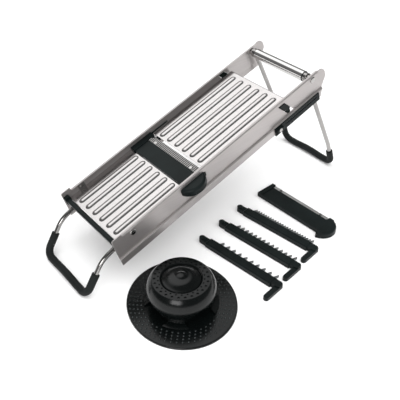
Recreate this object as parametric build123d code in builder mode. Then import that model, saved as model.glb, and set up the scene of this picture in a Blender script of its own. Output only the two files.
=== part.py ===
"""Folding-leg mandoline slicer with its set of blades and hand guard.

Frame: +X runs from the low outfeed end to the high infeed end, +Y to the far rail, +Z up from the
table. The slicer itself is modelled in deck coordinates: u along the rails from their front end,
v across them and w square to the decks, with w = 0 at the top of the rails.
"""

from build123d import *
import math
import os

os.makedirs("parts", exist_ok=True)

# ---- overall sizes (mm, degrees) ----
rail_length = 400.0          # front end to the tip of the ears
rail_width = 131.6           # over the two side plates
deck_tilt = 18.9             # rise of the decks towards the infeed end
front_height = 84.2          # table to the top of the rails at their front end
front_x = -202.0             # place of the rails' front end on the table
slicer_y = 75.4              # place of the slicer's centre line on the table

# ---- side rails ----
sheet = 1.5                  # rail sheet thickness
flange = 4.0                 # width of the inward top flange
tab_length = 12.0            # unfolded tab at the front end
tab_rise = 3.0               # how far that tab stands above the flange
web_depth = 32.0             # top of the rail down to the ledge
lip_step = 3.0               # how far the lip stands outside the web
lip_depth = 12.0             # height of the lip below the ledge
bend_radius = 2.2            # outside radius of the sheet bends
front_overhang = 7.0         # how far the rails' lower front corner runs past their front end
ear_radius = 11.0            # round of the ear's tip
ear_length = 14.0            # rear stretch of the rail with no flange
tab_corner = (-front_overhang / 2, tab_rise)
ear_top = (rail_length - 1.0, 0.0)      # corners of the ear's outline (u, w)
ear_tip = (rail_length, -17.0)
ear_foot = (rail_length - 15.0, -37.0)

# ---- decks ----
deck_sheet = 1.0
outfeed_level = -12.0        # top face of the outfeed deck
infeed_level = -9.6          # top face of the infeed deck at its thinnest setting
rib_pitch = 17.5
rib_count = 6
rib_width = 9.6
rib_height = 1.8
rib_margin = 4.0             # rib end to the deck's edge
infeed_rear = 325.0          # rear edge of the infeed deck
infeed_half = rail_width / 2 - 4.8      # half width of the infeed deck
infeed_flange = 11.0         # depth of its side flanges

# ---- blade cassettes ----
cassette_front = 121.0       # front edge of the cassette in the rails
cassette_across = 36.0       # front edge to cutting edge
cassette_depth = 7.5
cassette_top = -8.6
fit_gap = 0.3                # sliding clearance of the plastic pieces
blade_thick = 0.9
wave_pitch = 3.2
wave_height = 0.8
thumb_out = 16.5             # how far the thumb grip stands outside the rail
thumb_across = 43.0
thumb_shift = -9.0
thumb_top = 3.0              # how far the grip stands above the cassette
thumb_round = 4.0            # rounding of the grip's curved top edge
cassette_short = 2.7         # how much shorter the cassette is than the space between the rails
shelf_drop = 2.9             # top of the cassette down to the blade's shelf
blade_rivet_radius = 1.5
blade_rivet_head = 2.4
blade_rivet_depth = 2.5      # how deep those rivets reach into the carrier

# ---- legs ----
wire_radius = 3.4
sleeve_radius = 5.5
leg_half = rail_width / 2 - 11.8        # centre line of each leg's side wires from the slicer's centre
eye_radius = 7.0
eye_width = 5.6
foot_arch = 1.5              # rise of the middle of the foot run
foot_corner = 13.0           # bend radius at the feet
knee_radius = 40.0
front_foot_x = -247.0
rear_foot_x = 247.0
running = 0.05               # radial clearance of a shaft in its hole
front_pivot = (16.0, -20.5)  # (u, w)
rear_pivot = (373.0, -7.0)
front_knee = (-217.0, 52.0)  # (x, z)
rear_knee = (231.0, 49.0)
front_sleeve_run = 34.0      # how far each sleeve climbs the leg
rear_sleeve_run = 30.0

# ---- thickness setting ----
slot_top = (307.6, -5.5)     # middle of the slanted slot's top end (u, w)
slot_foot = (323.6, -30.0)   # middle of its lower end
slot_width = 12.4
setting_travel = 10.0        # travel of the infeed deck along the slot
block_height = 14.2
pin_radius = 2.8
guide_radius = 2.5
guide_u = 176.0
bar_from = 284.0
bar_to = 378.0
bar_wall = 1.6

# ---- handle tube ----
tube_radius = 8.0
tube_wall = 1.2
tube_half = rail_width / 2 - 15.8
rod_radius = 3.0
screw_head = 4.6
screw_shank = 2.0

# ---- hand guard ----
guard_x = -153.0
guard_y = -65.6
brim_long = 79.0             # half lengths of the oval brim
brim_short = 73.0
brim_turn = 74.0             # direction of its long axis
brim_thick = 3.2
foot_radius = 50.0
knob_radius = 46.5
neck_radius = 40.0
petal_level = 18.0           # lower end of the four finger petals
ring_radius = 39.5
well_radius = 26.6
cap_side = well_radius - 0.4            # side of the pusher's cap
guard_height = 47.0
guard_wall = 2.6
dimple_count = 26

# ---- loose blades on the table ----
comb_length = 137.0
comb_width = 14.5
comb_depth = 8.0
comb_turn = 7.5
tooth_reach = 7.0
tooth_thick = 0.8            # steel strip of a comb
tooth_base = 3.2
crank_out = 38.0
crank_width = 8.2
loose_turn = 2.4

half_width = rail_width / 2
wall_face = half_width - sheet

tilt = math.radians(deck_tilt)
along = (math.cos(tilt), 0, math.sin(tilt))
deck = Plane(origin=(front_x, slicer_y, front_height), x_dir=along,
             z_dir=(-math.sin(tilt), 0, math.cos(tilt)))


def side_plane(v):
    """Plane of constant v: its x is u, its y is w, and it faces the near side."""
    return Plane(origin=deck.from_local_coords((0, v, 0)), x_dir=along, z_dir=(0, -1, 0))


def cross_plane(u):
    """Plane of constant u: its x is v, its y is w, and it faces the infeed end."""
    return Plane(origin=deck.from_local_coords((u, 0, 0)), x_dir=(0, 1, 0), z_dir=along)


def on_deck(u, w):
    """The table-frame x and z of a point given in deck coordinates."""
    point = deck.from_local_coords((u, 0, w))
    return point.X, point.Z


def write(piece, name):
    piece.part.label = name
    export_step(piece.part, f"parts/{name}.step")


# ================= side rails =================

slot_lean = (slot_foot[0] - slot_top[0]) / (slot_foot[1] - slot_top[1])


def slanted(u, w_high, w_low, width):
    """Corners of a parallelogram that leans with the slanted slot."""
    low_u = u + slot_lean * (w_low - w_high)
    half = width / 2
    return [(u - half, w_high), (u + half, w_high), (low_u + half, w_low), (low_u - half, w_low)]


window_front = cassette_front - fit_gap
window_rear = cassette_front + cassette_across + fit_gap
window_top = cassette_top + fit_gap
window_foot = cassette_top - cassette_depth - fit_gap
rivet_place = (28.0, -7.6)
rivet_radius = 2.2


def make_rail(side):
    """One side plate: side is 1 for the far rail and -1 for the near one."""
    outer = side * half_width
    inner = side * wall_face
    lip_out = side * (half_width + lip_step)
    flange_in = side * (half_width - flange)
    foot = -web_depth - lip_depth
    with BuildPart() as rail:
        with BuildSketch(cross_plane(-front_overhang)):
            with BuildLine():
                Polyline([(flange_in, 0), (outer, 0), (outer, -web_depth), (lip_out, -web_depth),
                          (lip_out, foot), (lip_out - side * sheet, foot),
                          (lip_out - side * sheet, -web_depth - sheet), (inner, -web_depth - sheet),
                          (inner, -sheet), (flange_in, -sheet), (flange_in, 0)])
            make_face()
        extrude(amount=rail_length + front_overhang)
        corners = [(outer, 0, bend_radius), (inner, -sheet, bend_radius - sheet),
                   (lip_out, -web_depth, bend_radius), (inner, -web_depth - sheet, bend_radius)]
        for v, w, radius in corners:
            spot = deck.from_local_coords((rail_length / 2, v, w))
            fillet(rail.edges().filter_by(Axis((0, 0, 0), along)).sort_by_distance(spot)[0], radius)
        # the front tab and the rear ear are plain plate
        for start, end, top in ((-front_overhang, tab_length, tab_rise),
                                (rail_length - ear_length, rail_length, 0)):
            with BuildSketch(side_plane(inner)):
                with Locations(((start + end) / 2, (top - 2 * flange) / 2)):
                    Rectangle(end - start, top + 2 * flange)
            extrude(amount=-side * sheet)
            with BuildSketch(side_plane(inner)):
                with Locations(((start + end) / 2, -sheet / 2)):
                    Rectangle(end - start, 2 * sheet + bend_radius)
            extrude(amount=side * flange, mode=Mode.SUBTRACT)
        # trim to the side outline, with the round ear leaning forward below its tip
        with BuildSketch(side_plane(-half_width - 2 * lip_step)) as outline:
            with BuildLine():
                Polyline([(-front_overhang, foot), tab_corner, (tab_length, tab_rise),
                          (tab_length, 0), ear_top, ear_tip, ear_foot, (ear_foot[0] - 3, foot)],
                         close=True)
            make_face()
            for corner, radius in ((ear_top, ear_radius), (ear_tip, ear_radius / 2),
                                   (tab_corner, tab_rise)):
                fillet(outline.vertices().sort_by_distance((corner[0], corner[1], 0))[0], radius)
        extrude(amount=-rail_width - 4 * lip_step, mode=Mode.INTERSECT)
        # slanted slot of the thickness setting
        with BuildSketch(side_plane(side * (half_width - flange))):
            with BuildLine():
                Polyline(slanted(slot_top[0], slot_top[1], slot_foot[1], slot_width), close=True)
            make_face()
        extrude(amount=-side * 2 * flange, mode=Mode.SUBTRACT)
        # hole for the rod screw and for the deck rivet
        with BuildSketch(side_plane(side * (half_width - flange))):
            with Locations(rear_pivot):
                Circle(screw_shank + running)
            with Locations(rivet_place):
                Circle(rivet_radius)
        extrude(amount=-side * 2 * flange, mode=Mode.SUBTRACT)
        if side < 0:
            # window that the blade cassette slides out through
            with BuildSketch(side_plane(side * (half_width - flange))):
                with Locations(((window_front + window_rear) / 2, (window_top + window_foot) / 2)):
                    Rectangle(window_rear - window_front, window_top - window_foot)
            extrude(amount=-side * 2 * flange, mode=Mode.SUBTRACT)
    return rail


near_side_rail = make_rail(-1)
write(near_side_rail, "near_side_rail")
far_side_rail = make_rail(1)
write(far_side_rail, "far_side_rail")


# ================= decks =================

infeed_front = window_rear + 3.2
outfeed_front = 5.2
outfeed_rear = cassette_front - 1.6


rib_round = (rib_width ** 2 / 4 + rib_height ** 2) / (2 * rib_height)   # radius of a rib's section


def make_ribs(start, end, level, radius):
    """A deck's row of half-round ribs with round ends, standing on the plane w = level - deck_sheet."""
    depth = level + rib_height - rib_round
    with BuildPart() as ribs:
        for index in range(rib_count):
            v = (index - (rib_count - 1) / 2) * rib_pitch
            with BuildSketch(cross_plane(start)):
                with Locations((v, depth)):
                    Circle(radius)
            extrude(amount=end - start)
            for u in (start, end):
                with Locations(deck.location * Pos(u, v, depth)):
                    Sphere(radius)
        with BuildSketch(deck.offset(level - deck_sheet)):
            with Locations(((start + end) / 2, 0)):
                Rectangle(end - start + 4 * radius, rail_width)
        extrude(amount=3 * rib_height, mode=Mode.INTERSECT)
    return ribs.part


deck_skirt = 16.0
deck_tab = 11.0              # length of the deck's upturned riveting tabs
tab_clear = 2.6              # from such a tab's top to the top of the rail
with BuildPart() as outfeed_deck:
    with BuildSketch(deck.offset(outfeed_level)):
        with Locations(((outfeed_front + outfeed_rear) / 2, 0)):
            Rectangle(outfeed_rear - outfeed_front, 2 * wall_face)
    extrude(amount=-deck_sheet)
    for side in (-1, 1):
        with BuildSketch(side_plane(side * wall_face)):
            with Locations(((outfeed_front + outfeed_rear) / 2, outfeed_level - deck_skirt / 2)):
                Rectangle(outfeed_rear - outfeed_front, deck_skirt)
            with Locations((rivet_place[0], (outfeed_level - tab_clear) / 2)):
                Rectangle(deck_tab, -outfeed_level - tab_clear)
        extrude(amount=side * deck_sheet)
    ribs_from = outfeed_front + rib_margin + rib_width / 2
    ribs_to = outfeed_rear - rib_margin / 2 - rib_width / 2
    add(make_ribs(ribs_from, ribs_to, outfeed_level, rib_round))
    add(make_ribs(ribs_from, ribs_to, outfeed_level, rib_round - deck_sheet), mode=Mode.SUBTRACT)
    with BuildSketch(side_plane(-half_width)):
        with Locations(rivet_place):
            Circle(rivet_radius)
    extrude(amount=-rail_width, mode=Mode.SUBTRACT)
write(outfeed_deck, "outfeed_deck")

with BuildPart() as deck_rivets:
    for side in (-1, 1):
        with BuildSketch(side_plane(side * half_width)):
            with Locations(rivet_place):
                Circle(screw_head)
        extrude(amount=-side * 1.6)
        with BuildSketch(side_plane(side * half_width)):
            with Locations(rivet_place):
                Circle(rivet_radius)
        extrude(amount=side * (sheet + deck_sheet + 0.8))
    rims = deck_rivets.faces().filter_by(Axis.Y).sort_by(Axis.Y)
    fillet(rims[0].edges(), 1.2)
    fillet(deck_rivets.faces().filter_by(Axis.Y).sort_by(Axis.Y)[-1].edges(), 1.2)
write(deck_rivets, "deck_rivets")

pin_level = infeed_level - deck_sheet - pin_radius - 1.4
pin_place = (slot_top[0] + slot_lean * (pin_level - slot_top[1]), pin_level)
guide_place = (guide_u, infeed_level - deck_sheet - guide_radius - 1.6)
pin_reach = half_width + 0.3

with BuildPart() as infeed_deck:
    with BuildSketch(deck.offset(infeed_level)):
        with Locations(((infeed_front + infeed_rear) / 2, 0)):
            Rectangle(infeed_rear - infeed_front, 2 * infeed_half)
    extrude(amount=-infeed_flange)
    top = infeed_deck.faces().sort_by(Axis(deck.origin, deck.z_dir))[-1]
    fillet(top.edges().sort_by(Axis(deck.origin, along))[1:], 2.2)
    with BuildSketch(deck.offset(infeed_level - deck_sheet)):
        with Locations(((infeed_front + infeed_rear) / 2 - deck_sheet, 0)):
            Rectangle(infeed_rear - infeed_front, 2 * (infeed_half - deck_sheet))
    extrude(amount=-infeed_flange, mode=Mode.SUBTRACT)
    # the rear edge is turned down less than the sides
    with BuildSketch(deck.offset(infeed_level - 0.55 * infeed_flange)):
        with Locations((infeed_rear, 0)):
            Rectangle(6, 2 * infeed_half)
    extrude(amount=-infeed_flange, mode=Mode.SUBTRACT)
    ribs_from = infeed_front + rib_margin / 2 + rib_width / 2
    ribs_to = infeed_rear - 2 * rib_margin - rib_width / 2
    add(make_ribs(ribs_from, ribs_to, infeed_level, rib_round))
    add(make_ribs(ribs_from, ribs_to, infeed_level, rib_round - deck_sheet), mode=Mode.SUBTRACT)
    with BuildSketch(side_plane(-half_width)):
        with Locations(pin_place):
            Circle(pin_radius)
        with Locations(guide_place):
            Circle(guide_radius)
    extrude(amount=-rail_width, mode=Mode.SUBTRACT)
write(infeed_deck, "infeed_deck")

with BuildPart() as setting_pins:
    for side in (-1, 1):
        with BuildSketch(side_plane(side * (infeed_half - deck_sheet))):
            with Locations(pin_place):
                Circle(pin_radius)
        extrude(amount=-side * (pin_reach - infeed_half + deck_sheet))
        with BuildSketch(side_plane(side * (infeed_half - deck_sheet))):
            with Locations(pin_place):
                Circle(pin_radius + 0.9)
        extrude(amount=side * 0.8)
write(setting_pins, "setting_pins")

with BuildPart() as slot_blocks:
    for side in (-1, 1):
        with BuildSketch(side_plane(side * (wall_face - 0.15))):
            with BuildLine():
                low = slot_top[1] - 0.4 - block_height
                high = slot_top[1] - 0.4
                start = slot_top[0] - 0.4 * slot_lean
                Polyline(slanted(start, high, low, slot_width - 2 * fit_gap), close=True)
            make_face()
        extrude(amount=-side * (sheet + 1.3))
        with BuildSketch(side_plane(side * (wall_face - 0.15))):
            with Locations(pin_place):
                Circle(pin_radius)
        extrude(amount=-side * (pin_reach - wall_face + 0.15), mode=Mode.SUBTRACT)
write(slot_blocks, "slot_blocks")

with BuildPart() as guide_pins:
    for side in (-1, 1):
        with BuildSketch(side_plane(side * (infeed_half - deck_sheet))):
            with Locations(guide_place):
                Circle(guide_radius)
        extrude(amount=-side * (wall_face - 0.5 - infeed_half + deck_sheet))
        with BuildSketch(side_plane(side * (infeed_half - deck_sheet))):
            with Locations(guide_place):
                Circle(guide_radius + 1)
        extrude(amount=side * 0.8)
write(guide_pins, "guide_pins")

# ================= thickness bar =================

lip_outer = half_width + lip_step
lip_foot = -web_depth - lip_depth
bar_outer = lip_outer + 0.25 + bar_wall
bar_foot = lip_foot - 0.4 - bar_wall
arm_outer = wall_face - 0.25
arm_inner = infeed_half + 0.4
setting_drop = setting_travel * math.sin(math.atan2(slot_top[1] - slot_foot[1],
                                                    slot_foot[0] - slot_top[0]))
with BuildPart() as thickness_bar:
    with BuildSketch(cross_plane(bar_from)):
        with BuildLine():
            Polyline([(-bar_outer, -web_depth - 0.6), (-bar_outer, bar_foot), (-arm_inner, bar_foot),
                      (-arm_inner, bar_foot + bar_wall + 4), (-arm_outer, bar_foot + bar_wall + 4),
                      (-arm_outer, bar_foot + bar_wall), (-lip_outer - 0.25, bar_foot + bar_wall),
                      (-lip_outer - 0.25, -web_depth - 0.6)], close=True)
        make_face()
    extrude(amount=bar_to - bar_from)
    # arm that takes the deck's pin, inside the rail
    with BuildSketch(side_plane(-arm_inner)):
        with Locations((pin_place[0], (bar_foot + slot_top[1]) / 2)):
            Rectangle(19, slot_top[1] - bar_foot)
    extrude(amount=arm_outer - arm_inner)
    with BuildSketch(side_plane(-arm_inner)):
        with Locations((pin_place[0], pin_place[1] - setting_drop / 2)):
            SlotOverall(setting_drop + 2 * pin_radius + 0.6, 2 * (pin_radius + running), rotation=90)
    extrude(amount=arm_outer - arm_inner, mode=Mode.SUBTRACT)
    # long window that shows the rail's lip
    with BuildSketch(side_plane(-lip_outer)):
        with Locations(((bar_from + bar_to) / 2 + 8, -web_depth - 5.6)):
            SlotOverall(bar_to - bar_from - 28, 2.4)
    extrude(amount=2 * bar_wall + 1, mode=Mode.SUBTRACT)
write(thickness_bar, "thickness_bar")

knob_length = 15.0
knob_height = 8.4
knob_out = 3.2
knob_middle = (bar_from + knob_length / 2 + 1, -web_depth - 6.6)
with BuildPart() as thickness_knob:
    with BuildSketch(side_plane(-bar_outer)):
        with Locations(knob_middle):
            RectangleRounded(knob_length, knob_height, 3)
    extrude(amount=knob_out)
    fillet(thickness_knob.faces().sort_by(Axis.Y)[0].edges(), 1.2)
    with BuildSketch(side_plane(-bar_outer)):
        with Locations(knob_middle):
            Circle(1.5)
    extrude(amount=knob_out, mode=Mode.SUBTRACT)
    with BuildSketch(side_plane(-bar_outer - knob_out + 1.4)):
        with Locations(knob_middle):
            Circle(3)
    extrude(amount=2, mode=Mode.SUBTRACT)
write(thickness_knob, "thickness_knob")

with BuildPart() as knob_screw:
    with BuildSketch(side_plane(-bar_outer)):
        with Locations(knob_middle):
            Circle(1.5)
    extrude(amount=knob_out - 1.4)
    with BuildSketch(side_plane(-bar_outer - knob_out + 1.4)):
        with Locations(knob_middle):
            Circle(2.9)
    extrude(amount=1.3)
write(knob_screw, "knob_screw")

# ================= front cross bar =================

with BuildPart() as front_cross_bar:
    with BuildSketch(side_plane(-wall_face)):
        with Locations((0.4, outfeed_level + 0.2)):
            RectangleRounded(7, 9, 1.6)
    extrude(amount=-2 * wall_face)
    for side in (-1, 1):
        with BuildSketch(side_plane(side * wall_face)):
            with Locations((0.4, outfeed_level + 2)):
                RectangleRounded(9, 12, 2)
        extrude(amount=side * 6)
write(front_cross_bar, "front_cross_bar")

# ================= blade seats =================

seat_foot = window_foot - 7.6
seat_in = half_width - 10.8
stud_level = window_foot - 3.9
stud_places = [(window_front + 3.5, stud_level), (window_rear - 3.5, stud_level)]
guide_end = guide_u + 15


def make_seat(side):
    """Plastic seat on one rail: a pocket for the cassette and a slanted groove for the infeed deck."""
    with BuildPart() as seat:
        with BuildSketch(side_plane(side * (wall_face - 0.1))):
            with Locations(((window_front + window_rear) / 2, (seat_foot + cassette_top) / 2)):
                Rectangle(window_rear - window_front + 2.4, cassette_top - seat_foot)
        extrude(amount=side * (wall_face - 0.1 - seat_in))
        pocket_to = half_width if side < 0 else wall_face - 2.2
        with BuildSketch(side_plane(side * pocket_to)):
            with Locations(((window_front + window_rear) / 2, (window_foot + window_top) / 2 + 1)):
                Rectangle(window_rear - window_front, window_top - window_foot + 2)
        extrude(amount=side * 20, mode=Mode.SUBTRACT)
        with BuildSketch(side_plane(side * (wall_face - 0.1))):
            with Locations(((window_rear + guide_end) / 2, -21.5)):
                Rectangle(guide_end - window_rear, 21)
        extrude(amount=side * (wall_face - 0.1 - infeed_half - 0.3))
        groove_angle = math.degrees(math.atan2(slot_foot[1] - slot_top[1], slot_foot[0] - slot_top[0]))
        groove_mid = (guide_place[0] + setting_travel / 2 * math.cos(math.radians(groove_angle)),
                      guide_place[1] + setting_travel / 2 * math.sin(math.radians(groove_angle)))
        with BuildSketch(side_plane(side * (wall_face - 0.1))):
            with Locations(groove_mid):
                SlotCenterToCenter(setting_travel + 0.4, 2 * (guide_radius + running),
                                   rotation=groove_angle)
            with Locations(*stud_places):
                Circle(2)
        extrude(amount=side * 20, mode=Mode.SUBTRACT)
    return seat


near_blade_seat = make_seat(-1)
write(near_blade_seat, "near_blade_seat")
far_blade_seat = make_seat(1)
write(far_blade_seat, "far_blade_seat")

with BuildPart() as seat_studs:
    for side in (-1, 1):
        with BuildSketch(side_plane(side * wall_face)):
            with Locations(*stud_places):
                Circle(2)
        extrude(amount=side * (wall_face - seat_in))
        with BuildSketch(side_plane(side * seat_in)):
            with Locations(*stud_places):
                Circle(3.2)
        extrude(amount=side * 1.4)
write(seat_studs, "seat_studs")

# ================= legs =================


def foot_route(foot_x, knee, climb):
    """Points of a leg from its knee side down, across the feet and up again."""
    foot = Vector(foot_x, slicer_y + leg_half, sleeve_radius)
    top = Vector(knee[0], slicer_y + leg_half, knee[1])
    start = top if climb is None else foot + (top - foot).normalized() * climb
    half = [start, foot, Vector(foot_x, slicer_y + 0.52 * leg_half, sleeve_radius),
            Vector(foot_x, slicer_y + 0.15 * leg_half, sleeve_radius + foot_arch)]
    mirrored = [Vector(p.X, 2 * slicer_y - p.Y, p.Z) for p in reversed(half)]
    return half + mirrored


def make_leg(foot_x, knee, pivot):
    """U-shaped wire leg that ends in two flat eyes."""
    pivot_x, pivot_z = on_deck(*pivot)
    route = foot_route(foot_x, knee, None)
    top = Vector(pivot_x, slicer_y + leg_half, pivot_z)
    start = top + (route[0] - top).normalized() * (eye_radius - 1.5)
    end = Vector(start.X, 2 * slicer_y - start.Y, start.Z)
    points = [start] + route + [end]
    radii = [knee_radius, foot_corner, 40, 40, 40, 40, foot_corner, knee_radius]
    with BuildPart() as leg:
        with BuildLine() as line:
            FilletPolyline(*points, radius=radii)
        with BuildSketch(Plane(origin=line.line @ 0, z_dir=line.line % 0)):
            Circle(wire_radius)
        sweep(path=line.line)
        for side in (-1, 1):
            with BuildSketch(side_plane(side * leg_half)):
                with Locations(pivot):
                    Circle(eye_radius)
            extrude(amount=eye_width / 2, both=True)
            with BuildSketch(side_plane(side * leg_half)):
                with Locations(pivot):
                    Circle(rod_radius + running)
            extrude(amount=eye_width, both=True, mode=Mode.SUBTRACT)
    return leg


def make_sleeve(foot_x, knee, climb):
    """Rubber sleeve over the feet of a leg."""
    points = foot_route(foot_x, knee, climb)
    radii = [foot_corner, 40, 40, 40, 40, foot_corner]
    with BuildPart() as sleeve:
        with BuildLine() as line:
            FilletPolyline(*points, radius=radii)
        with BuildSketch(Plane(origin=line.line @ 0, z_dir=line.line % 0)):
            Circle(sleeve_radius)
            Circle(wire_radius, mode=Mode.SUBTRACT)
        sweep(path=line.line)
    return sleeve


front_leg_wire = make_leg(front_foot_x, front_knee, front_pivot)
write(front_leg_wire, "front_leg_wire")
front_leg_sleeve = make_sleeve(front_foot_x, front_knee, front_sleeve_run)
write(front_leg_sleeve, "front_leg_sleeve")
rear_leg_wire = make_leg(rear_foot_x, rear_knee, rear_pivot)
write(rear_leg_wire, "rear_leg_wire")
rear_leg_sleeve = make_sleeve(rear_foot_x, rear_knee, rear_sleeve_run)
write(rear_leg_sleeve, "rear_leg_sleeve")

eye_out = leg_half + eye_width / 2
eye_in = leg_half - eye_width / 2
with BuildPart() as front_leg_pivots:
    for side in (-1, 1):
        with BuildSketch(side_plane(side * (wall_face - deck_sheet))):
            with Locations(front_pivot):
                RectangleRounded(16, 14, 3)
        extrude(amount=side * 2)
        with BuildSketch(side_plane(side * (wall_face - deck_sheet))):
            with Locations(front_pivot):
                Circle(5)
        extrude(amount=side * (wall_face - deck_sheet - eye_out - 0.2))
        with BuildSketch(side_plane(side * (eye_out + 0.2))):
            with Locations(front_pivot):
                Circle(rod_radius)
        extrude(amount=side * (eye_width + 2))
write(front_leg_pivots, "front_leg_pivots")

with BuildPart() as front_leg_washers:
    for side in (-1, 1):
        with BuildSketch(side_plane(side * (eye_in - 0.3))):
            with Locations(front_pivot):
                Circle(5.4)
                Circle(rod_radius, mode=Mode.SUBTRACT)
        extrude(amount=side * 1.2)
write(front_leg_washers, "front_leg_washers")

with BuildPart() as rear_cross_rod:
    with BuildSketch(side_plane(-wall_face + 0.1)):
        with Locations(rear_pivot):
            Circle(rod_radius)
    extrude(amount=-2 * (wall_face - 0.1))
    for side in (-1, 1):
        with BuildSketch(side_plane(side * wall_face)):
            with Locations(rear_pivot):
                Circle(screw_shank)
        extrude(amount=side * 8, mode=Mode.SUBTRACT)
write(rear_cross_rod, "rear_cross_rod")

with BuildPart() as rear_rod_screws:
    for side in (-1, 1):
        with BuildSketch(side_plane(side * half_width)):
            with Locations(rear_pivot):
                Circle(screw_head)
        extrude(amount=-side * 1.8)
        with BuildSketch(side_plane(side * half_width)):
            with Locations(rear_pivot):
                Circle(screw_shank)
        extrude(amount=side * (sheet + 7))
    fillet(rear_rod_screws.faces().filter_by(Axis.Y).sort_by(Axis.Y)[0].edges(), 1.2)
    fillet(rear_rod_screws.faces().filter_by(Axis.Y).sort_by(Axis.Y)[-1].edges(), 1.2)
write(rear_rod_screws, "rear_rod_screws")

with BuildPart() as rear_rod_spacers:
    for side in (-1, 1):
        with BuildSketch(side_plane(side * (wall_face - 0.05))):
            with Locations(rear_pivot):
                Circle(5.2)
                Circle(rod_radius, mode=Mode.SUBTRACT)
        extrude(amount=side * (wall_face - 0.05 - eye_out - 0.3))
write(rear_rod_spacers, "rear_rod_spacers")

with BuildPart() as handle_tube:
    with BuildSketch(side_plane(-tube_half)):
        with Locations(rear_pivot):
            Circle(tube_radius)
            Circle(tube_radius - tube_wall, mode=Mode.SUBTRACT)
    extrude(amount=-2 * tube_half)
write(handle_tube, "handle_tube")

with BuildPart() as handle_end_plugs:
    for side in (-1, 1):
        with BuildSketch(side_plane(side * tube_half)):
            with Locations(rear_pivot):
                Circle(tube_radius - tube_wall)
                Circle(rod_radius, mode=Mode.SUBTRACT)
        extrude(amount=side * 10)
        with BuildSketch(side_plane(side * tube_half)):
            with Locations(rear_pivot):
                Circle(tube_radius - 0.4)
                Circle(rod_radius, mode=Mode.SUBTRACT)
        extrude(amount=-side * 0.4)
write(handle_end_plugs, "handle_end_plugs")

# ================= blade cassettes =================

cassette_root = -wall_face          # v where the thumb grip's neck starts
cassette_length = 2 * wall_face - cassette_short
post_length = 6.5
shelf_depth = cassette_depth - shelf_drop
shelves = {True: cassette_across - 10.0, False: cassette_across - 6.5}     # wavy or not
neck_to = sheet + fit_gap


def rivet_spots(wavy):
    """Places of the two blade rivets in a cassette's plane."""
    return [(shelves[wavy] + 2.6, 22), (shelves[wavy] + 2.6, cassette_length - 22)]


installed = Plane(origin=deck.from_local_coords((cassette_front, cassette_root,
                                                 cassette_top - cassette_depth)),
                  x_dir=along, z_dir=deck.z_dir)
loose_angle = math.radians(loose_turn)
loose = Plane(origin=(91.3, -87.6, 0.6), x_dir=(math.cos(loose_angle), math.sin(loose_angle), 0),
              z_dir=(0, 0, 1))


def make_cassette(place, wavy):
    """Black plastic blade carrier: x runs to the cutting edge, y from the thumb grip inwards."""
    shelf_from = shelves[wavy]
    with BuildPart() as carrier:
        with BuildSketch(place):
            with Locations((cassette_across / 2, (cassette_length - neck_to) / 2)):
                Rectangle(cassette_across, cassette_length + neck_to)
        extrude(amount=cassette_depth)
        with BuildSketch(place.offset(shelf_depth)):
            with Locations(((shelf_from + cassette_across) / 2, cassette_length / 2)):
                Rectangle(cassette_across - shelf_from, cassette_length - 2 * post_length)
        extrude(amount=cassette_depth, mode=Mode.SUBTRACT)
        with BuildSketch(place):
            with Locations((cassette_across - 1.5, cassette_length / 2)):
                Rectangle(3, cassette_length - 2 * post_length)
        extrude(amount=cassette_depth, mode=Mode.SUBTRACT)
        # the top is a little lower between the two end blocks
        with BuildSketch(place.offset(cassette_depth)):
            with Locations((cassette_across / 2, cassette_length / 2)):
                Rectangle(cassette_across, cassette_length - 2 * post_length - 3)
        extrude(amount=-1.2, mode=Mode.SUBTRACT)
        with BuildSketch(place.offset(shelf_depth)):
            with Locations(*rivet_spots(wavy)):
                Circle(blade_rivet_radius)
        extrude(amount=-blade_rivet_depth, mode=Mode.SUBTRACT)
    return carrier


def make_grip(place):
    """Half-moon thumb grip, a separate cap moulded over the carrier's end."""
    grip_radius = (thumb_across ** 2 / 4 + thumb_out ** 2) / (2 * thumb_out)
    grip_middle = (cassette_across / 2 + thumb_shift / 2 - 1, -neck_to - thumb_out + grip_radius)
    with BuildPart() as grip:
        with BuildSketch(place.offset(-0.4)):
            with Locations(grip_middle):
                Circle(grip_radius)
            with Locations((grip_middle[0], -neck_to + grip_radius)):
                Rectangle(3 * grip_radius, 2 * grip_radius, mode=Mode.SUBTRACT)
        extrude(amount=cassette_depth + thumb_top + 0.4)
        top = grip.faces().sort_by(Axis(place.origin, place.z_dir))[-1]
        fillet(top.edges().filter_by(GeomType.CIRCLE), thumb_round)
    return grip


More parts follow.
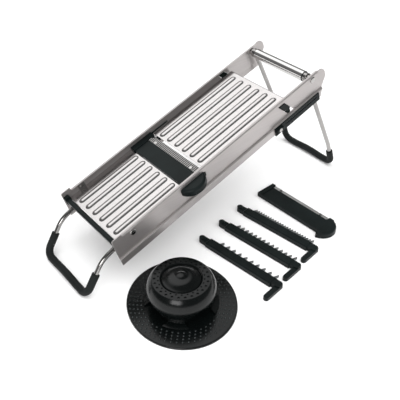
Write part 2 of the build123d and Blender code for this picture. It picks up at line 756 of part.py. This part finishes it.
def make_blade(place, wavy):
    """Steel blade on the carrier's shelf, either flat with a bevel or rippled along its length."""
    start = post_length + 0.4
    end = cassette_length - post_length - 0.4
    shelf_from = shelves[wavy]
    across = cassette_across - shelf_from
    with BuildPart() as blade:
        if wavy:
            count = int((end - start) / wave_pitch)
            first = (start + end - count * wave_pitch) / 2
            crests = [(start, 0), (first, 0)]
            for index in range(count):
                crests.append((first + (index + 0.5) * wave_pitch, wave_height))
                crests.append((first + (index + 1) * wave_pitch, 0))
            crests.append((end, 0))
            under = [(y, z + blade_thick) for y, z in reversed(crests)]
            section = Plane(origin=place.from_local_coords((shelf_from + 0.2, 0, shelf_depth)),
                            x_dir=place.y_dir, z_dir=place.x_dir)
            with BuildSketch(section):
                with BuildLine():
                    Polyline(crests[1:-1] + under[1:-1], close=True)
                make_face()
                for low, high in ((start, first), (first + count * wave_pitch, end)):
                    with Locations(((low + high) / 2, blade_thick / 2)):
                        Rectangle(high - low + 0.02, blade_thick)
            extrude(amount=across)
            # the far corner of the cutting edge is cut off
            with BuildSketch(place.offset(shelf_depth - 1)):
                with BuildLine():
                    Polyline([(cassette_across + 1, end - 9), (cassette_across + 1, end + 1),
                              (cassette_across - 6, end + 1)], close=True)
                make_face()
            extrude(amount=4, mode=Mode.SUBTRACT)
        else:
            with BuildSketch(place.offset(shelf_depth)):
                with Locations((shelf_from + 0.2 + across / 2, (start + end) / 2)):
                    Rectangle(across, end - start)
            extrude(amount=blade_thick)
            edge = blade.edges().filter_by(Axis(place.origin, place.y_dir))
            edge = edge.sort_by(Axis(place.origin, place.x_dir))[-2:]
            chamfer(edge.sort_by(Axis(place.origin, place.z_dir))[-1], 0.7, 2.4)
        with BuildSketch(place.offset(shelf_depth - 1)):
            with Locations(*rivet_spots(wavy)):
                Circle(blade_rivet_radius)
        extrude(amount=5, mode=Mode.SUBTRACT)
    return blade


def make_rivets(place, wavy):
    """Two rivets that hold the blade on its shelf."""
    with BuildPart() as rivets:
        with BuildSketch(place.offset(shelf_depth - blade_rivet_depth)):
            with Locations(*rivet_spots(wavy)):
                Circle(blade_rivet_radius)
        extrude(amount=blade_rivet_depth + blade_thick)
        with BuildSketch(place.offset(shelf_depth + blade_thick + wave_height)):
            with Locations(*rivet_spots(wavy)):
                Circle(blade_rivet_head)
        extrude(amount=0.6)
        with BuildSketch(place.offset(shelf_depth + blade_thick)):
            with Locations(*rivet_spots(wavy)):
                Circle(blade_rivet_radius)
        extrude(amount=wave_height)
    return rivets


for prefix, place, wavy in (("wavy", installed, True), ("straight", loose, False)):
    write(make_cassette(place, wavy), f"{prefix}_cassette_carrier")
    write(make_grip(place), f"{prefix}_cassette_grip")
    write(make_blade(place, wavy), f"{prefix}_blade")
    write(make_rivets(place, wavy), f"{prefix}_blade_rivets")

# ================= julienne combs =================

comb_angle = math.radians(comb_turn)
combs = [("coarse", (-28.9, -118.5), 11.0), ("medium", (17.3, -109.5), 8.0),
         ("fine", (63.5, -100.5), 4.6)]
comb_boss = 4.6


def comb_plane(corner):
    """Plane of one comb on the table: x towards its teeth, y from its crank to its round boss."""
    return Plane(origin=(corner[0], corner[1], 0), z_dir=(0, 0, 1),
                 x_dir=(math.cos(comb_angle), math.sin(comb_angle), 0))


def make_comb_bar(place):
    """Plastic bar of a comb, with a stepped end and boss, a shoulder and a crank."""
    with BuildPart() as bar:
        with BuildSketch(place):
            with Locations((-comb_width / 2, comb_length / 2 - 8)):
                Rectangle(comb_width, comb_length - 16)
        extrude(amount=comb_depth)
        upright = bar.edges().filter_by(Axis(place.origin, place.z_dir))
        fillet(upright, 1.6)
        top = bar.faces().sort_by(Axis(place.origin, place.z_dir))[-1]
        chamfer(top.edges(), 1.1)
        # stepped end and its boss
        with BuildSketch(place):
            with Locations((-comb_width / 2 - 0.6, comb_length - 15)):
                RectangleRounded(comb_width - 4, 18, 1.5)
        extrude(amount=comb_depth - 1)
        with BuildSketch(place):
            with Locations((-comb_width / 2 - 1, comb_length - comb_boss - 1)):
                Circle(comb_boss)
        extrude(amount=comb_depth + 0.6)
        # elbow block and crank, a flat lever with a round tip
        with BuildSketch(place):
            with Locations((-comb_width / 2 + 0.6, -5)):
                RectangleRounded(comb_width - 3, 16, 4)
        extrude(amount=comb_depth - 0.6)
        with BuildSketch(place):
            with Locations((-crank_out / 2 - 0.5, -9.5)):
                SlotOverall(crank_out, crank_width)
        extrude(amount=5.4)
    return bar


def make_comb_teeth(place, pitch):
    """Steel strip on the side of a comb's bar, with pointed teeth across it."""
    first = 2.5
    last = comb_length - 22
    count = int((last - first - tooth_base) / pitch) + 1
    with BuildPart() as teeth:
        with BuildSketch(place.offset(1.5)):
            with Locations((tooth_thick / 2, (first + last) / 2)):
                Rectangle(tooth_thick, last - first)
            for index in range(count):
                y = first + index * pitch
                reach = tooth_reach + 1.5 if index == 0 else tooth_reach
                with BuildLine():
                    Polyline([(tooth_thick / 2, y), (reach, y - 0.6), (tooth_thick / 2, y + tooth_base)],
                             close=True)
                make_face()
        extrude(amount=4.5)
    return teeth


for name, corner, pitch in combs:
    write(make_comb_bar(comb_plane(corner)), f"{name}_comb_bar")
    write(make_comb_teeth(comb_plane(corner), pitch), f"{name}_comb_teeth")

# ================= hand guard =================

guard = Plane(origin=(guard_x, guard_y, 0),
              x_dir=(math.cos(math.radians(brim_turn)), math.sin(math.radians(brim_turn)), 0),
              z_dir=(0, 0, 1))
guard_section = Plane(origin=guard.origin, x_dir=guard.x_dir,
                      z_dir=(math.sin(math.radians(brim_turn)), -math.cos(math.radians(brim_turn)), 0))
scoop_radius = 21.0
scoop_wall = 34.5
plate_level = 18.0
stem_radius = 5.0

with BuildPart() as guard_body:
    with BuildSketch(guard):
        Ellipse(brim_long, brim_short)
    extrude(amount=brim_thick)
    fillet(guard_body.faces().sort_by(Axis.Z)[-1].edges(), 1.4)
    # body: an upturned bowl with a rounded ring on top and a well inside the ring
    with BuildSketch(guard_section):
        with BuildLine():
            Polyline((0, 1), (foot_radius, 1), (foot_radius, brim_thick + 2),
                     (neck_radius + 2, brim_thick + 4), (neck_radius, petal_level - 3),
                     (knob_radius - 1, petal_level))
            Spline((knob_radius - 1, petal_level), (knob_radius, petal_level + 10),
                   (ring_radius + 3.5, guard_height - 6), (ring_radius - 1, guard_height))
            Polyline((ring_radius - 1, guard_height), (well_radius + 1.5, guard_height),
                     (well_radius, guard_height - 1.5), (well_radius, plate_level + 10),
                     (0, plate_level + 10), (0, 1))
        make_face()
    revolve(axis=Axis(guard.origin, (0, 0, 1)))
    # four arched finger scoops
    for index in range(4):
        turn = math.radians(-93 + 90 * index)
        outward = (math.cos(turn), math.sin(turn), 0)
        arch = Plane(origin=(guard_x + 70 * outward[0], guard_y + 70 * outward[1], 0),
                     x_dir=(outward[1], -outward[0], 0), z_dir=(-outward[0], -outward[1], 0))
        with BuildSketch(arch):
            with Locations((0, brim_thick + 3)):
                Circle(scoop_radius)
            with Locations((0, brim_thick - 30)):
                Rectangle(60, 60, mode=Mode.SUBTRACT)
        extrude(amount=70 - scoop_wall, mode=Mode.SUBTRACT)
    # hollow underside and the shaft hole of the pusher
    with BuildSketch(guard):
        Circle(scoop_wall - guard_wall)
    extrude(amount=plate_level + 10 - guard_wall, mode=Mode.SUBTRACT)
    with BuildSketch(guard):
        Circle(stem_radius + running)
    extrude(amount=guard_height, mode=Mode.SUBTRACT)
    # ring of small dimples on top
    with BuildSketch(guard.offset(guard_height)):
        with PolarLocations(ring_radius - 4.6, dimple_count):
            Circle(1.7)
        with PolarLocations(well_radius + 3.6, dimple_count, start_angle=180 / dimple_count):
            Circle(1.1)
    extrude(amount=-1.2, mode=Mode.SUBTRACT)
write(guard_body, "guard_body")

with BuildPart() as pusher_cap:
    with BuildSketch(guard_section):
        with BuildLine():
            cap_low = plate_level + 10.4
            Polyline((0, cap_low), (cap_side, cap_low), (cap_side, guard_height - 3))
            Spline((cap_side, guard_height - 3), (cap_side - 2.5, guard_height - 0.4),
                   (15, guard_height + 3.6), (8, guard_height + 4.6), (0, guard_height + 6.6),
                   tangents=((0, 1), (-1, 0)))
            Line((0, guard_height + 6.6), (0, cap_low))
        make_face()
    revolve(axis=Axis(guard.origin, (0, 0, 1)))
    with BuildSketch(guard):
        Circle(2.5)
    extrude(amount=cap_low + 8, mode=Mode.SUBTRACT)
write(pusher_cap, "pusher_cap")

with BuildPart() as pusher_plate:
    with BuildSketch(guard.offset(9)):
        Circle(scoop_wall - guard_wall - 1.2)
    extrude(amount=3)
    with BuildSketch(guard.offset(9)):
        Circle(stem_radius)
    extrude(amount=cap_low - 9)
    with BuildSketch(guard):
        Circle(2.5)
        with PolarLocations(20, 6):
            Circle(1.0)
        with PolarLocations(10, 3, start_angle=30):
            Circle(1.0)
    extrude(amount=cap_low, mode=Mode.SUBTRACT)
write(pusher_plate, "pusher_plate")

with BuildPart() as pusher_screw:
    with BuildSketch(guard.offset(7.6)):
        Circle(4.4)
    extrude(amount=1.4)
    with BuildSketch(guard.offset(8)):
        Circle(2.5)
    extrude(amount=cap_low - 8 + 7.5)
write(pusher_screw, "pusher_screw")

with BuildPart() as pusher_prongs:
    with BuildSketch(guard.offset(12)):
        with PolarLocations(20, 6):
            Circle(1.0)
        with PolarLocations(10, 3, start_angle=30):
            Circle(1.0)
    extrude(amount=-8.5)
    with BuildSketch(guard.offset(3.5)):
        with PolarLocations(20, 6):
            Circle(1.0)
        with PolarLocations(10, 3, start_angle=30):
            Circle(1.0)
    extrude(amount=-2.6, taper=18)
write(pusher_prongs, "pusher_prongs")
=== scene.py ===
"""Looks of the folding-leg mandoline slicer with its hand guard, combs and spare blade."""

import math

import bpy
from mathutils import Matrix, Vector


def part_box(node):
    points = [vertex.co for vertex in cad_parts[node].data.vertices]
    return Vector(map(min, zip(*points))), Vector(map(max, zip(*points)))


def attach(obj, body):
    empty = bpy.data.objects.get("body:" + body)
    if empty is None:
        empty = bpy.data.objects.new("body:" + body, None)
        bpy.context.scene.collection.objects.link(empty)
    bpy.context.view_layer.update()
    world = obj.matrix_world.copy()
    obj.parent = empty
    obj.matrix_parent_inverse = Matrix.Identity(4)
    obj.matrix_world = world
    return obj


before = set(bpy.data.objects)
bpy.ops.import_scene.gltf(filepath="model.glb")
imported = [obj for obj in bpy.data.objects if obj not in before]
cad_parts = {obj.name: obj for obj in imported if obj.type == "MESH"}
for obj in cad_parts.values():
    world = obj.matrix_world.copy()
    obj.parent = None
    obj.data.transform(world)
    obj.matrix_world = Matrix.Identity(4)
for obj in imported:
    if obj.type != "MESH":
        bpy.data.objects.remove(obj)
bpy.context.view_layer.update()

MM = 0.001
DECK_TILT = math.radians(18.9)
FLUTE_PITCH = 3.2 * MM

# raised pips on the guard's brim: staggered rings as (radius in mm, number of pips)
BRIM_TOP = 3.2 * MM
PIP_RADIUS = 1.5 * MM
PIP_RISE = 0.8 * MM
PIP_SUNK = 0.05 * MM
PIP_RINGS = ((54.0, 46), (59.0, 50), (64.0, 54), (69.0, 58))

CAMERA_PLACE = (-0.4814, -0.5014, 0.6016)
CAMERA_DIP = 38.11              # degrees below the horizon
CAMERA_HEADING = -39.53         # degrees round from +Y

# ================= shader writing =================


def socket_of(value):
    """The socket of a Reading; a plain value or socket comes back as it is."""
    return value.socket if isinstance(value, Reading) else value


class Reading:
    """A shader value that Python arithmetic turns into Math nodes."""

    def __init__(self, finish, socket):
        self.finish = finish
        self.socket = socket

    def maths(self, operation, *others, first=None):
        values = [self if first is None else first, *others]
        node = self.finish.node("ShaderNodeMath", {"operation": operation}, dict(enumerate(values)))
        return node[0]

    def __add__(self, other):
        return self.maths("ADD", other)

    def __radd__(self, other):
        return self.maths("ADD", other)

    def __sub__(self, other):
        return self.maths("SUBTRACT", other)

    def __rsub__(self, other):
        return self.maths("SUBTRACT", self, first=other)

    def __mul__(self, other):
        return self.maths("MULTIPLY", other)

    def __rmul__(self, other):
        return self.maths("MULTIPLY", other)

    def sine(self):
        return self.maths("SINE")


class Outputs:
    """The outputs of a shader node, by number or name."""

    def __init__(self, finish, shader_node):
        self.finish = finish
        self.shader_node = shader_node

    def __getitem__(self, key):
        return Reading(self.finish, self.shader_node.outputs[key])


class Finish:
    """A node material that is put together by hand."""

    def __init__(self, name):
        self.material = bpy.data.materials.new(name)
        self.material.use_nodes = True
        self.tree = self.material.node_tree
        self.tree.nodes.clear()
        self.place = self.node("ShaderNodeTexCoord")["Object"]

    def node(self, kind, settings=None, inputs=None):
        """Adds any shader node: settings are its properties, inputs are values or readings."""
        shader_node = self.tree.nodes.new(kind)
        for name, value in (settings or {}).items():
            if name == "stops":
                self.set_stops(shader_node.color_ramp, value)
            else:
                setattr(shader_node, name, value)
        for name, value in (inputs or {}).items():
            value = socket_of(value)
            target = shader_node.inputs[name]
            if isinstance(value, bpy.types.NodeSocket):
                self.tree.links.new(value, target)
            else:
                target.default_value = value
        return Outputs(self, shader_node)

    def set_stops(self, ramp, stops):
        while len(ramp.elements) < len(stops):
            ramp.elements.new(0.5)
        for element, (position, shade) in zip(ramp.elements, stops):
            element.position = position
            element.color = (shade, shade, shade, 1)

    def ramp(self, value, stops):
        return self.node("ShaderNodeValToRGB", {"stops": stops}, {0: value})[0]

    def stretched(self, scale, turn=0.0):
        """Object coordinates turned with the deck and stretched by scale."""
        return self.node("ShaderNodeMapping", {}, {"Vector": self.place, "Rotation": (0, turn, 0),
                                                   "Scale": scale})[0]

    def noise(self, place, scale, detail=3.0, roughness=0.5):
        return self.node("ShaderNodeTexNoise", {}, {"Vector": place, "Scale": scale, "Detail": detail,
                                                    "Roughness": roughness})[0]

    def mix(self, factor, first, second):
        return self.node("ShaderNodeMix", {"data_type": "RGBA"}, {0: factor, 6: first, 7: second})[2]

    def bump(self, height, distance, strength=1.0):
        return self.node("ShaderNodeBump", {}, {"Height": height, "Distance": distance,
                                                "Strength": strength})[0]

    def surface(self, **inputs):
        """Ends the material with a principled surface; an underscore stands for a space."""
        named = {name.replace("_", " "): value for name, value in inputs.items()}
        shader = self.node("ShaderNodeBsdfPrincipled", {}, named)
        self.node("ShaderNodeOutputMaterial", {}, {"Surface": shader[0]})
        return self.material


def tinted(shade):
    return (*shade, 1.0)


def brushed_steel(name, light, dark, rough, grain_turn=DECK_TILT, grain=(6, 900, 900),
                  depth=0.000004, metal=1.0):
    """Rolled sheet with its grain along one direction, faint smears and fine scratches."""
    steel = Finish(name)
    lines = steel.noise(steel.stretched(grain, grain_turn), 1.0, 4.0, 0.65)
    smears = steel.noise(steel.stretched((9, 14, 14)), 1.0, 3.0, 0.55)
    scratch_place = steel.stretched((40, 2500, 2500), grain_turn + 0.05)
    scratches = steel.ramp(steel.noise(scratch_place, 1.0, 2.0), [(0.66, 0.0), (0.74, 1.0)])
    tone = steel.ramp(lines * 0.6 + smears * 0.4, [(0.36, 0.0), (0.64, 1.0)])
    shade = steel.mix(tone, tinted(dark), tinted(light))
    gloss = rough + (lines - 0.5) * 0.10 + (smears - 0.5) * 0.12 + scratches * 0.05
    relief = steel.bump(lines + scratches * 0.6, depth, 0.6)
    return steel.surface(Base_Color=shade, Metallic=metal, Roughness=gloss, Normal=relief)


def fluted_steel_painted_shade(name, light, dark, rough, pitch):
    """Ground blade steel with painted shade darkening the gullets of its fine flute grooves across the
    edge.
    """
    steel = Finish(name)
    along_edge = steel.node("ShaderNodeSeparateXYZ", {}, {0: steel.place})[1]
    flute_relief_and_shade = (along_edge * (2 * math.pi / pitch)).sine() * 0.5 + 0.5
    grain = steel.noise(steel.stretched((400, 30, 400)), 1.0, 3.0)
    # painted shade: the flute sine darkens the colour towards each gullet
    tone = steel.ramp(flute_relief_and_shade * 0.85 + grain * 0.15, [(0.30, 0.0), (0.62, 1.0)])
    shade = steel.mix(tone, tinted(dark), tinted(light))
    gloss = rough + (grain - 0.5) * 0.15
    relief = steel.bump(flute_relief_and_shade, 0.0002, 0.4)
    return steel.surface(Base_Color=shade, Metallic=0.8, Roughness=gloss, Normal=relief)


def moulded_plastic(name, light, dark, rough, spark=700, depth=0.00002, shine=0.12):
    """Black plastic from a spark-eroded mould, with handling marks."""
    plastic = Finish(name)
    texture = plastic.noise(plastic.place, spark, 2.0)
    clouds = plastic.noise(plastic.place, 22, 4.0)
    tone = plastic.ramp(clouds, [(0.35, 0.0), (0.65, 1.0)])
    shade = plastic.mix(tone, tinted(dark), tinted(light))
    gloss = rough + (clouds - 0.5) * 0.16 + (texture - 0.5) * 0.10
    relief = plastic.bump(texture, depth, 0.5)
    return plastic.surface(Base_Color=shade, Roughness=gloss, Normal=relief,
                           Specular_IOR_Level=shine)


rail_steel = brushed_steel("rail sheet, satin", (0.46, 0.435, 0.428), (0.41, 0.385, 0.38), 0.36,
                           metal=0.75)
deck_steel = brushed_steel("deck sheet, polished", (0.62, 0.60, 0.595), (0.53, 0.515, 0.51), 0.20,
                           grain=(5, 700, 700), depth=0.000001)
wire_steel = brushed_steel("leg wire, bright drawn", (0.40, 0.39, 0.38), (0.30, 0.29, 0.285), 0.16,
                           grain=(60, 60, 60), depth=0.000001)
tube_steel = brushed_steel("handle tube, polished", (0.74, 0.73, 0.72), (0.64, 0.63, 0.62), 0.10,
                           grain=(500, 20, 500), grain_turn=0.0, depth=0.000001)
fastener_steel = brushed_steel("rivets and screws", (0.50, 0.49, 0.48), (0.40, 0.39, 0.38), 0.22,
                               grain=(300, 300, 300), depth=0.000002)
blade_steel = brushed_steel("ground blade steel", (0.74, 0.74, 0.73), (0.60, 0.60, 0.59), 0.34,
                            grain=(400, 30, 400), depth=0.000002)
# wavy blade: its dark colour is painted shade in the flute gullets
fluted_blade_painted_shade = fluted_steel_painted_shade("fluted blade steel, painted gullet shade", (0.80, 0.79, 0.78), (0.13, 0.125, 0.12), 0.36,
                            FLUTE_PITCH)
# the comb teeth are steel darkened in colour as painted shade
tooth_steel_painted_shade = brushed_steel("comb teeth steel, painted shade", (0.20, 0.21, 0.21), (0.12, 0.13, 0.13), 0.34,
                            grain=(300, 300, 300), depth=0.000002)
black_plastic = moulded_plastic("black moulded plastic", (0.008, 0.0115, 0.0115),
                                (0.0045, 0.0065, 0.0065), 0.34)
guard_plastic = moulded_plastic("guard plastic, semi-gloss", (0.0026, 0.0036, 0.0036),
                                (0.0014, 0.0020, 0.0020), 0.20, spark=520, depth=0.00001, shine=0.30)
# the brim pips are the guard's plastic with a lighter base colour as a painted highlight
pip_plastic_painted_highlight = moulded_plastic("raised grip pips, painted highlight", (0.016, 0.020, 0.020), (0.010, 0.013, 0.013), 0.16,
                              shine=0.6)
sleeve_rubber = moulded_plastic("black rubber", (0.013, 0.015, 0.015), (0.008, 0.009, 0.009), 0.55,
                                spark=900, depth=0.00003)

finishes = {
    "rail": (rail_steel, ["near_side_rail", "far_side_rail"]),
    "deck": (deck_steel, ["outfeed_deck", "infeed_deck"]),
    "wire": (wire_steel, ["front_leg_wire", "rear_leg_wire"]),
    "tube": (tube_steel, ["handle_tube"]),
    "fasteners": (fastener_steel, ["deck_rivets", "rear_rod_screws", "seat_studs", "front_leg_pivots",
                                   "front_leg_washers", "rear_rod_spacers", "setting_pins", "guide_pins",
                                   "rear_cross_rod", "knob_screw", "wavy_blade_rivets",
                                   "straight_blade_rivets", "pusher_screw", "pusher_prongs"]),
    "flute_relief_and_shade": (fluted_blade_painted_shade, ["wavy_blade"]),
    "blade": (blade_steel, ["straight_blade"]),
    "teeth": (tooth_steel_painted_shade, ["coarse_comb_teeth", "medium_comb_teeth", "fine_comb_teeth"]),
    "guard": (guard_plastic, ["guard_body", "pusher_cap", "pusher_plate"]),
    "rubber": (sleeve_rubber, ["front_leg_sleeve", "rear_leg_sleeve"]),
}
material_of = {node: material for material, nodes in finishes.values() for node in nodes}
for node, cad_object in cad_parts.items():
    for material_slot in cad_object.material_slots:
        material_slot.material = material_of.get(node, black_plastic)

# ================= moulded and stamped details =================


def start_fresh():
    """Nothing is left selected before a new primitive is added."""
    bpy.ops.object.select_all(action="DESELECT")


def repeat(master, places, name):
    """Copies of one modelled shape, one at each place matrix, joined into one piece at the origin."""
    copies = []
    for place in places:
        copy = master.copy()
        copy.data = master.data.copy()
        copy.matrix_world = place
        bpy.context.scene.collection.objects.link(copy)
        copies.append(copy)
    bpy.data.objects.remove(master)
    start_fresh()
    for copy in copies:
        copy.select_set(True)
    bpy.context.view_layer.objects.active = copies[0]
    bpy.ops.object.join()
    bpy.ops.object.transform_apply(location=True, rotation=True, scale=True)
    piece = bpy.context.object
    piece.name = name
    return piece


def hand_over(piece, material, body):
    """Gives a finished piece its material and body."""
    piece.data.materials.clear()
    piece.data.materials.append(material)
    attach(piece, body)


def half_dome(radius, rise):
    """A low round pip that stands on z = 0."""
    start_fresh()
    bpy.ops.mesh.primitive_uv_sphere_add(segments=10, ring_count=8, radius=radius)
    pip = bpy.context.object
    bpy.ops.object.mode_set(mode="EDIT")
    bpy.ops.mesh.select_all(action="SELECT")
    bpy.ops.mesh.bisect(plane_co=(0, 0, 0), plane_no=(0, 0, 1), clear_inner=True)
    bpy.ops.mesh.select_all(action="SELECT")
    bpy.ops.transform.resize(value=(1, 1, rise / radius))
    bpy.ops.object.mode_set(mode="OBJECT")
    bpy.ops.object.shade_smooth()
    return pip


guard_low, guard_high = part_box("guard_body")
guard_middle = (guard_low + guard_high) / 2
pip_places = []
for row, (radius, count) in enumerate(PIP_RINGS):
    for index in range(count):
        turn = 2 * math.pi * (index + 0.5 * (row % 2)) / count
        spot = Vector((guard_middle.x + radius * MM * math.cos(turn),
                       guard_middle.y + radius * MM * math.sin(turn), BRIM_TOP - PIP_SUNK))
        pip_places.append(Matrix.Translation(spot))
brim_pips = repeat(half_dome(PIP_RADIUS, PIP_RISE), pip_places, "brim_pips")
hand_over(brim_pips, pip_plastic_painted_highlight, "guard")

# ================= stage =================

start_fresh()
bpy.ops.mesh.primitive_plane_add(size=12, location=(0, 0, 0))
table_top = bpy.context.object
table_top.name = "table_top"
paper = Finish("pale table")
fibres = paper.noise(paper.place, 300, 2.0)
table_finish = paper.surface(Base_Color=(0.93, 0.93, 0.93, 1), Specular_IOR_Level=0.2,
                             Roughness=0.55 + fibres * 0.1)
table_top.data.materials.append(table_finish)

world = bpy.data.worlds.new("studio")
bpy.context.scene.world = world
world.use_nodes = True

# the studio is bright high up on the far side and dim round its walls
walls = world.node_tree
direction = walls.nodes.new("ShaderNodeTexCoord")
height = walls.nodes.new("ShaderNodeVectorMath")
height.operation = "DOT_PRODUCT"
height.inputs[1].default_value = (0.08, 0.50, 0.862)
brightness = walls.nodes.new("ShaderNodeValToRGB")
walls.links.new(direction.outputs["Generated"], height.inputs[0])
walls.links.new(height.outputs["Value"], brightness.inputs[0])
# a pale backdrop stands behind everything that is looked at directly
seen_directly = walls.nodes.new("ShaderNodeLightPath")
backdrop = walls.nodes.new("ShaderNodeMix")
backdrop.data_type = "RGBA"
backdrop.inputs[7].default_value = (0.62, 0.62, 0.62, 1)
walls.links.new(seen_directly.outputs["Is Camera Ray"], backdrop.inputs[0])
walls.links.new(brightness.outputs[0], backdrop.inputs[6])
walls.links.new(backdrop.outputs[2], walls.nodes["Background"].inputs["Color"])
studio_stops = [(0.0, 0.10), (0.30, 0.10), (0.84, 0.12), (0.93, 0.90), (1.0, 1.1)]
while len(brightness.color_ramp.elements) < len(studio_stops):
    brightness.color_ramp.elements.new(0.5)
for element, (position, shade) in zip(brightness.color_ramp.elements, studio_stops):
    element.position = position
    element.color = (shade, shade, shade, 1)
walls.nodes["Background"].inputs["Strength"].default_value = 1.6


def softbox(name, place, aim, size, power):
    """A rectangular studio light at a place, turned towards its aim."""
    light = bpy.data.lights.new(name, "AREA")
    light.shape = "RECTANGLE"
    light.size, light.size_y = size
    light.energy = power
    lamp = bpy.data.objects.new(name, light)
    lamp.location = place
    lamp.rotation_euler = (Vector(aim) - Vector(place)).to_track_quat("-Z", "Y").to_euler()
    bpy.context.scene.collection.objects.link(lamp)


daylight = bpy.data.lights.new("overhead diffuser", "SUN")
daylight.energy = 3.3
daylight.angle = math.radians(85)
diffuser = bpy.data.objects.new("overhead diffuser", daylight)
diffuser.visible_glossy = False
diffuser.rotation_euler = Vector((0.10, 0.45, -1.0)).to_track_quat("-Z", "Y").to_euler()
bpy.context.scene.collection.objects.link(diffuser)
softbox("left softbox", (-1.5, -1.0, 0.8), (0, 0, 0.1), (0.9, 0.7), 12)

camera_data = bpy.data.cameras.new("camera")
camera_data.lens = 54
camera_data.sensor_width = 36
camera_data.clip_end = 50
camera = bpy.data.objects.new("camera", camera_data)
camera.location = CAMERA_PLACE
camera.rotation_euler = (math.radians(90 - CAMERA_DIP), 0, math.radians(CAMERA_HEADING))
bpy.context.scene.collection.objects.link(camera)
bpy.context.scene.camera = camera
bpy.context.scene.view_settings.view_transform = "Standard"
